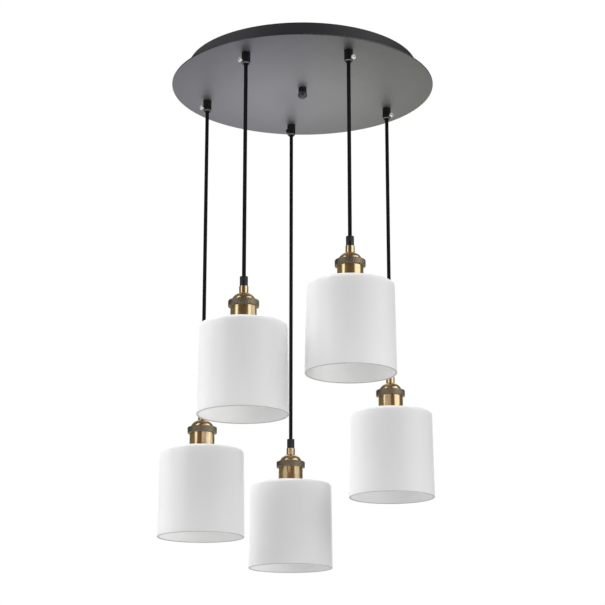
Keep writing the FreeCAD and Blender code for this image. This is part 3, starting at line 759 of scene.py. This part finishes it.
def gland_mesh(material):
    """Gland: a ribbed clamping nut with a rounded mouth, a seam, and a plain collar on a spigot."""
    seam_top, seam_bottom, seam_depth = -0.009, -0.0098, 0.0005
    ribs, rib_depth, rib_top = 24, 0.0002, -0.0015
    bore = CORD_RADIUS + CORD_CLEARANCE
    spigot = low_level("cord_gland")

    def ribbed(radius, level, angle):
        if radius < GLAND_RADIUS - 1e-6 or not seam_top < level < rib_top:
            return radius
        return radius - rib_depth * (0.5 + 0.5 * math.cos(ribs * angle)) ** 4

    return lathe("gland", [
        (0, spigot),
        (GLAND_THREAD_RADIUS, spigot, EDGE),
        (GLAND_THREAD_RADIUS, NECK_TOP),
        (GLAND_RADIUS, NECK_TOP, EDGE),
        (GLAND_RADIUS, seam_bottom, FINE_EDGE),
        (GLAND_RADIUS - seam_depth, seam_bottom),
        (GLAND_RADIUS - seam_depth, seam_top),
        (GLAND_RADIUS, seam_top, FINE_EDGE),
        *ladder(GLAND_RADIUS, seam_top - FINE_EDGE, rib_top - 0.0001, 0.001),
        (GLAND_RADIUS, 0, 0.001),
        (bore, 0, 0.0004),
        (bore, -CORD_IN_GLAND),
        (0, -CORD_IN_GLAND),
    ], [material], 96, ribbed)


def cap_mesh(material):
    """Brass neck and dome in one shell, with a beaded lip and a spigot that screws into the body."""
    inside = CAP_THREAD_RADIUS - SHEET
    lip_top = KNURL_TOP + DOME_LIP
    bore = GLAND_THREAD_RADIUS + FIT
    return lathe("cap", [
        (inside, CAP_BOTTOM),
        (CAP_THREAD_RADIUS, CAP_BOTTOM, EDGE),
        (CAP_THREAD_RADIUS, KNURL_TOP),
        (DOME_RADIUS, KNURL_TOP, FINE_EDGE),
        (DOME_RADIUS, lip_top),
        *arc((DOME_RADIUS, lip_top), (NECK_RADIUS, DOME_TOP), DOME_CURVE, 24),
        (NECK_RADIUS, DOME_TOP, 0.0007),
        (NECK_RADIUS, NECK_TOP, 0.0005),
        (bore, NECK_TOP),
        (bore, DOME_TOP - SHEET),
        (inside, lip_top),
    ], [material], 128)


def knurl_mesh(material):
    """Ring with slanted grooves between plain bevels; its inner lip lies between dome and body."""
    grooves, depth, half_groove = 36, 0.0003, 0.0018
    slant = math.radians(9)
    bevel, bevel_height = 0.0004, 0.0008
    height = KNURL_TOP - KNURL_BOTTOM
    skirt = BODY_RADIUS + FIT
    lip = CAP_THREAD_RADIUS + FIT
    pitch = math.tau / grooves

    def grooved(radius, level, angle):
        aside = abs(math.remainder(angle, pitch)) * KNURL_RADIUS
        root = KNURL_RADIUS - depth * max(0.0, 1 - (aside / half_groove) ** 1.5)
        return min(radius, root)

    def slanted(level):
        return slant * (level - KNURL_BOTTOM) / height

    return lathe("knurl", [
        (skirt, KNURL_BOTTOM),
        (KNURL_RADIUS - bevel, KNURL_BOTTOM, FINE_EDGE),
        (KNURL_RADIUS, KNURL_BOTTOM + bevel_height, EDGE),
        *ladder(KNURL_RADIUS, KNURL_BOTTOM + bevel_height, KNURL_TOP - bevel_height, 0.001),
        (KNURL_RADIUS, KNURL_TOP - bevel_height, EDGE),
        (KNURL_RADIUS - bevel, KNURL_TOP, FINE_EDGE),
        (lip, KNURL_TOP),
        (lip, BODY_TOP),
        (skirt, BODY_TOP),
    ], [material], grooves * 12, grooved, slanted)


def threaded(pitch, depth, crest, low, high):
    """A shape that cuts a right-hand thread into a crest radius between two levels."""

    def shape(radius, level, angle):
        if abs(radius - crest) > 1e-6 or not low < level < high:
            return radius
        wave = 0.5 - 0.5 * math.cos(math.tau * level / pitch - angle)
        run_out = min(1.0, (level - low) / pitch, (high - level) / pitch)
        return radius - depth * wave * run_out

    return shape


def body_mesh(material):
    """Brass cup: a smooth barrel over the glass, and a threaded neck down through it."""
    pitch, depth = 0.0018, 0.0005
    bore = PORCELAIN_RADIUS + FIT
    cap_bore = CAP_THREAD_RADIUS + FIT
    lip_top = low_level("lamp_socket")
    thread_top = GLASS_TOP - SOFT_EDGE
    return lathe("body", [
        (BODY_MOUTH_RADIUS, BODY_BOTTOM, EDGE),
        (BODY_THREAD_RADIUS, BODY_BOTTOM),
        *ladder(BODY_THREAD_RADIUS, BODY_BOTTOM, thread_top, pitch / 8),
        (BODY_THREAD_RADIUS, thread_top),
        (BODY_THREAD_RADIUS, GLASS_TOP),
        (BODY_RADIUS, GLASS_TOP, SOFT_EDGE),
        (BODY_RADIUS, BODY_TOP),
        (cap_bore, BODY_TOP),
        (cap_bore, CAP_BOTTOM),
        (bore, CAP_BOTTOM),
        (bore, lip_top),
        (BODY_MOUTH_RADIUS, lip_top, EDGE),
    ], [material], 96, threaded(pitch, depth, BODY_THREAD_RADIUS, BODY_BOTTOM, thread_top))


def porcelain_mesh(material):
    """Porcelain insert: a thick floor with a wire hole, and a wall with a rounded mouth."""
    bottom = low_level("lamp_socket")
    cavity = SHELL_RADIUS + FIT
    hole = 0.0025
    return lathe("porcelain", [
        (cavity, bottom, SOFT_EDGE),
        (PORCELAIN_RADIUS, bottom, SOFT_EDGE),
        (PORCELAIN_RADIUS, CAP_BOTTOM, 0.0005),
        (hole, CAP_BOTTOM, EDGE),
        (hole, CAVITY_TOP, EDGE),
        (cavity, CAVITY_TOP),
    ], [material], 96)


def shell_mesh(material):
    """Screw shell of thin sheet with a rolled lamp thread, closed on top but for an eye."""
    pitch, depth, steps = 0.00363, 0.0007, 10
    sheet, eye = 0.0003, 0.008
    foot = low_level("screw_shell")
    inner = SHELL_RADIUS - sheet

    def rolled(radius, level, angle):
        if radius < SHELL_RADIUS - 2 * sheet:
            return radius
        run_out = min(1.0, (level - foot) / pitch, (CAVITY_TOP - level) / pitch)
        return radius - depth * run_out * (0.5 - 0.5 * math.cos(math.tau * level / pitch - angle))

    return lathe("shell", [
        (inner, foot),
        (SHELL_RADIUS, foot),
        *ladder(SHELL_RADIUS, foot, CAVITY_TOP, pitch / steps),
        (SHELL_RADIUS, CAVITY_TOP),
        (eye, CAVITY_TOP),
        (eye, CAVITY_TOP - sheet),
        (inner, CAVITY_TOP - sheet),
        *ladder(inner, CAVITY_TOP - sheet, foot, pitch / steps),
    ], [material], 72, rolled)


def contact_mesh(material):
    """Centre contact: a springy strip that leaves the cavity's top and bends down to a dimple."""
    half, sheet = 0.0028, 0.00035
    line = [
        (-0.0072, 0),
        (-0.0052, 0),
        (-0.0036, -0.0012),
        (-0.0014, -0.0030),
        (0.0012, -0.0036),
        (0.0034, -0.0030),
    ]
    points, faces = [], []
    for along, down in line:
        for side in (-half, half):
            points.append((along, side, CAVITY_TOP - sheet + down))
            points.append((along, side, CAVITY_TOP - 2 * sheet + down))
    for row in range(len(line) - 1):
        this, after = 4 * row, 4 * row + 4
        faces.append((this, this + 2, after + 2, after))
        faces.append((this + 1, after + 1, after + 3, this + 3))
        faces.append((this, after, after + 1, this + 1))
        faces.append((this + 2, this + 3, after + 3, after + 2))
    faces.append((0, 1, 3, 2))
    last = 4 * len(line) - 4
    faces.append((last, last + 2, last + 3, last + 1))
    return mesh_from("contact", points, faces, [material], 50)


def shade_ring_mesh(material):
    """Ring that holds the glass from inside: four finger notches and a ribbed edge between them."""
    notches, notch_depth, half_notch = 4, 0.002, 0.003
    ribs, rib_depth = 120, 0.00025
    draft, bevel, bevel_height = 0.0001, 0.0006, 0.0008
    bore = BODY_THREAD_RADIUS + FIT
    turn_of_edge = math.asin(half_notch / RING_RADIUS)
    pitch = math.tau / notches

    def notched(radius, level, angle):
        aside = abs(math.remainder(angle, pitch))
        if aside < turn_of_edge:
            return min(radius, (RING_RADIUS - notch_depth) / math.cos(aside))
        if radius < RING_RADIUS - 1e-6:
            return radius
        return radius - rib_depth * (0.5 + 0.5 * math.cos(ribs * angle))

    near, steps = 1e-4, 90
    span = pitch - 2 * (turn_of_edge + near)
    angles = []
    for notch in range(notches):
        middle = notch * pitch
        angles += [middle + turn for turn in (-turn_of_edge + near, 0, turn_of_edge - near)]
        angles += [middle + turn_of_edge + near + span * step / steps for step in range(steps + 1)]
    return lathe("shade_ring", [
        (bore, RING_BOTTOM, EDGE),
        (RING_RADIUS - draft, RING_BOTTOM, 0.0005),
        (RING_RADIUS, RING_BOTTOM + bevel_height),
        (RING_RADIUS, RING_TOP - bevel),
        (RING_RADIUS - draft, RING_TOP),
        (bore, RING_TOP),
    ], [material], shape=notched, angles=angles)


def glass_mesh(material, edge_material, inner_painted_glow_material):
    """Opal glass: a wall that widens downwards, a flat top round the holder, and a grey band at the rim."""
    slope = (GLASS_RIM_RADIUS - GLASS_TOP_RADIUS) / (GLASS_TOP - GLASS_RIM)
    shoulder, inner_round, rim_round, rim_band_height = 0.005, 0.0025, 0.001, 0.0012
    spacing, rows = 0.02, 6

    def outer(level):
        return GLASS_TOP_RADIUS + slope * (GLASS_TOP - level)

    levels = [GLASS_TOP - spacing * (row + 1) for row in range(rows)]
    mesh = lathe("glass", [
        (GLASS_RIM_RADIUS - GLASS_WALL, GLASS_RIM, rim_round),
        (GLASS_RIM_RADIUS, GLASS_RIM, rim_round),
        *[(outer(level), level) for level in reversed(levels)],
        (GLASS_TOP_RADIUS, GLASS_TOP, shoulder),
        (GLASS_HOLE_RADIUS, GLASS_TOP, SOFT_EDGE),
        (GLASS_HOLE_RADIUS, GLASS_TOP - GLASS_WALL, SOFT_EDGE),
        (GLASS_TOP_RADIUS - GLASS_WALL, GLASS_TOP - GLASS_WALL, inner_round),
        *[(outer(level) - GLASS_WALL, level) for level in levels],
    ], [material, edge_material, inner_painted_glow_material], 192)
    for face in mesh.polygons:
        level = face.center.z
        within = face.center.xy.length < outer(level) - GLASS_WALL / 2
        if level < GLASS_RIM + rim_band_height:
            face.material_index = 1
        # The inside of the wall takes the material with a painted glow.
        elif within and level < GLASS_TOP - 0.6 * GLASS_WALL:
            face.material_index = 2
    return mesh


# Pieces of the canopy

def grip_mesh(material, mouth_material):
    """Cord grip: a barrel with a painted highlight on its chamfer and a nose, on a threaded shank."""
    low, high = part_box("cord_grips")
    plate_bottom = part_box("face_plate")[0].z
    length = plate_bottom - low.z
    shank_top = high.z - plate_bottom
    radius, nose_radius, nose, chamfer = 0.007, 0.0047, 0.0016, 0.0013
    step_depth, step_height = 0.0004, 0.0006
    shank, pitch, depth, lead = 0.0049, 0.001, 0.0003, 0.0004
    bore = CORD_RADIUS + CORD_CLEARANCE
    mesh = lathe("grip", [
        (bore, -length, 0.0004),
        (nose_radius, -length, EDGE),
        (nose_radius, nose - length),
        (radius - chamfer, nose - length, 0.0001),
        (radius, nose + chamfer - length, 0.0001),
        (radius, -step_height),
        (radius - step_depth, -step_height),
        (radius - step_depth, 0),
        (shank, 0),
        *ladder(shank, 0.0002, shank_top - lead, pitch / 6),
        (shank, shank_top, lead),
        (bore, shank_top, EDGE),
    ], [material, mouth_material], 64, threaded(pitch, depth, shank, 0.0, shank_top))
    for face in mesh.polygons:
        level = face.center.z + length
        beyond = face.center.xy.length > nose_radius + 0.0002
        # The chamfer takes the finish with a painted highlight.
        face.material_index = int(beyond and nose < level < nose + 0.8 * chamfer)
    return mesh


def screw_mesh(material, socket_painted_shade_material):
    """Set screw along +Z from its tip: a threaded stem and a low round head whose hexagon socket is painted
    black, a painted shade.
    """
    tip = CORD_RADIUS + FIT
    under_head, head_radius, head_height = 0.0100, 0.0040, 0.0024
    top = under_head + head_height
    stem, pitch, thread_depth = 0.0015, 0.0005, 0.0002
    apothem, depth, drill_point = 0.0011, 0.0013, 0.0003
    thread = threaded(pitch, thread_depth, stem, tip, under_head)

    def socketed(radius, level, angle):
        if level < top - depth - 1e-6 or radius > apothem + 1e-6 or radius < 1e-6:
            return thread(radius, level, angle)
        return radius / math.cos(math.remainder(angle, math.tau / 6))

    mesh = lathe("set_screw", [
        (0, tip),
        (stem, tip, EDGE),
        *ladder(stem, tip + 0.0004, under_head, pitch / 6),
        (stem, under_head),
        (head_radius, under_head, FINE_EDGE),
        (head_radius, top, 0.0007),
        (apothem, top),
        (apothem, top - depth),
        (0, top - depth - drill_point),
    ], [material, socket_painted_shade_material], 48, socketed)
    # Painted shade: the hexagon socket takes the black finish.
    for face in mesh.polygons:
        inside = face.center.xy.length < apothem / math.cos(math.pi / 6)
        face.material_index = int(inside and under_head < face.center.z < top - 1e-5)
    return mesh


def cap_nut_mesh(material, neck_material):
    """Ball nut, blind from below, on a short matt neck with a groove at its top."""
    ball, neck = radius_of("cap_nut"), 0.0068
    bore, bore_depth = radius_of("centre_stud") + FIT, 0.0135
    groove_top, groove_bottom, groove_depth, groove_slope = -0.0006, -0.0016, 0.0005, 0.0003
    low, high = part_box("cap_nut")
    height = high.z - low.z
    centre = ball - height
    joint = centre + math.sqrt(ball ** 2 - neck ** 2)
    turns = [math.radians(5 * step - 90) for step in range(1, 36)]
    curve = [(ball * math.cos(turn), centre + ball * math.sin(turn)) for turn in turns]
    mesh = lathe("cap_nut", [
        (0, -height),
        *[spot for spot in curve if spot[1] < joint - 0.0004],
        (neck, joint, SOFT_EDGE),
        (neck, groove_bottom, FINE_EDGE),
        (neck - groove_depth, groove_bottom + groove_slope),
        (neck - groove_depth, groove_top - groove_slope),
        (neck, groove_top, FINE_EDGE),
        (neck, 0, FINE_EDGE),
        (bore, 0),
        (bore, -bore_depth),
        (0, -bore_depth),
    ], [material, neck_material], 96)
    for face in mesh.polygons:
        face.material_index = int(face.center.z > joint - SOFT_EDGE)
    return mesh


def stud_mesh(material):
    """Threaded stud between the ceiling strap and the ball nut."""
    low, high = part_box("centre_stud")
    radius = radius_of("centre_stud")
    pitch, depth = 0.00125, 0.0006
    return lathe("stud", [
        (0, low.z),
        (radius, low.z, SOFT_EDGE),
        *ladder(radius, low.z + 0.0008, high.z - 0.0004, pitch / 8),
        (radius, high.z, EDGE),
        (0, high.z),
    ], [material], 48, threaded(pitch, depth, radius, low.z, high.z))


def well_screw_mesh(material):
    """Slotted head of a screw in the terminal block."""
    radius, height, half_slot, depth = 0.0022, 0.0018, 0.0004, 0.0008
    mesh = lathe("well_screw", [
        (0, 0),
        (radius, 0),
        (radius, height, EDGE),
        (0, height),
    ], [material], 48)
    work = bmesh.new()
    work.from_mesh(mesh)
    for side in (-half_slot, half_slot):
        parts = [*work.verts, *work.edges, *work.faces]
        bmesh.ops.bisect_plane(work, geom=parts, plane_co=(0, side, 0), plane_no=(0, 1, 0))
    for point in work.verts:
        if abs(point.co.y) < half_slot - 1e-7 and point.co.z > height - 1e-6:
            point.co.z -= depth
    work.to_mesh(mesh)
    work.free()
    return mesh


# Putting the pieces on their bodies

def put(name, mesh, place, body, node, turns=(0, 0, 0)):
    """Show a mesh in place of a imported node, on that node's body."""
    piece = add_object(name, mesh, place, turns)
    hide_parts(node)
    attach(piece, body)
    return piece


def add_canopy(finish):
    """Grips, set screws, ball nut, stud, and the screws in the terminal block's wells."""
    plate_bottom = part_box("face_plate")[0].z
    grip = grip_mesh(finish["black_enamel"], finish["chamfer_painted_highlight"])
    screw = screw_mesh(finish["bright_zinc"], finish["black_enamel"])
    dark_screw = screw_mesh(finish["black_enamel"], finish["black_enamel"])
    screw_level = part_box("cord_grips")[0].z + SCREW_ABOVE_MOUTH
    for pendant in PENDANTS:
        x, y = centre_of("cord_%d" % pendant)
        put("grip_%d" % pendant, grip, (x, y, plate_bottom), "canopy", "cord_grips")
        put(
            "grip_screw_%d" % pendant, dark_screw if pendant == DARK_SCREW else screw,
            (x, y, screw_level), "set_screw_%d" % pendant,
            "set_screw_%d" % pendant, (0, math.pi / 2, math.radians(SCREW_SIDES[pendant])),
        )
    nut = cap_nut_mesh(finish["polished_black"], finish["black_enamel"])
    put("ball_nut", nut, (0, 0, plate_bottom), "cap_nut", "cap_nut")
    put("threaded_stud", stud_mesh(finish["zinc_steel"]), (0, 0, 0), "canopy", "centre_stud")
    well_screw = well_screw_mesh(finish["nickel"])
    block_low, block_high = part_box("terminal_block")
    for index in range(WELL_COUNT):
        across = (index - (WELL_COUNT - 1) / 2) * WELL_SPACING
        place = (across, (block_low.y + block_high.y) / 2, block_high.z - WELL_DEPTH)
        piece = add_object("well_screw_%d" % (index + 1), well_screw, place, (0, 0, WELL_TURN * index))
        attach(piece, "canopy")


def add_lamps(finish):
    """The same nine pieces under every cord."""
    kinds = (
        ("gland", gland_mesh(finish["black_plastic"]), "black_plastic", "cord_gland"),
        ("cap", cap_mesh(finish["satin_brass"]), "satin_brass", "holder_cap"),
        ("knurl", knurl_mesh(finish["antique_bronze"]), "antique_bronze", "knurled_ring"),
        ("barrel", body_mesh(finish["satin_brass"]), "satin_brass", "holder_body"),
        ("insert", porcelain_mesh(finish["porcelain"]), "porcelain", "lamp_socket"),
        ("shell", shell_mesh(finish["shell_brass"]), "shell_brass", "screw_shell"),
        ("contact", contact_mesh(finish["shell_brass"]), "shell_brass", "screw_shell"),
        ("retainer", shade_ring_mesh(finish["black_plastic"]), "black_plastic", "shade_ring"),
        (
            "shade", glass_mesh(finish["opal_glass"], finish["glass_edge"], finish["inner_glass_painted_glow"]),
            "opal_glass", "glass_shade",
        ),
    )
    for pendant in PENDANTS:
        x, y = centre_of("cord_%d" % pendant)
        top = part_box("cord_gland_%d" % pendant)[1].z
        for kind, mesh, slot, node in kinds:
            body = "shade_ring_%d" % pendant if kind == "retainer" else "lamp_%d" % pendant
            put("%s_%d" % (kind, pendant), mesh, (x, y, top), body, "%s_%d" % (node, pendant))


FINISHES = {
    "black_enamel": black_enamel(),
    "chamfer_painted_highlight": chamfer_painted_highlight(),
    "polished_black": polished_black(),
    "gunmetal": plate_with_painted_light(),
    "zinc_steel": zinc_steel(),
    "nickel": nickel(),
    "bright_zinc": bright_zinc(),
    "black_plastic": black_plastic(),
    "satin_brass": satin_brass(),
    "antique_bronze": antique_bronze(),
    "shell_brass": shell_brass(),
    "porcelain": porcelain(),
    "opal_glass": opal_glass("opal_glass", 0.0),
    # The shades' inside has a painted glow.
    "inner_glass_painted_glow": opal_glass("inner_glass_painted_glow", 0.022),
    "glass_edge": glass_edge(),
    "black_cord": cord_material,
}

add_canopy(FINISHES)
add_lamps(FINISHES)

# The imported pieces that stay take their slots' finishes, and the pan has its own
for part in frame["record"]["subparts"]:
    node = frame["nodes"][part["node"]]
    node.data.materials.clear()
    node.data.materials.append(FINISHES[part["material_slot"]])
frame["nodes"]["canopy_pan"].data.materials[0] = pan_enamel()
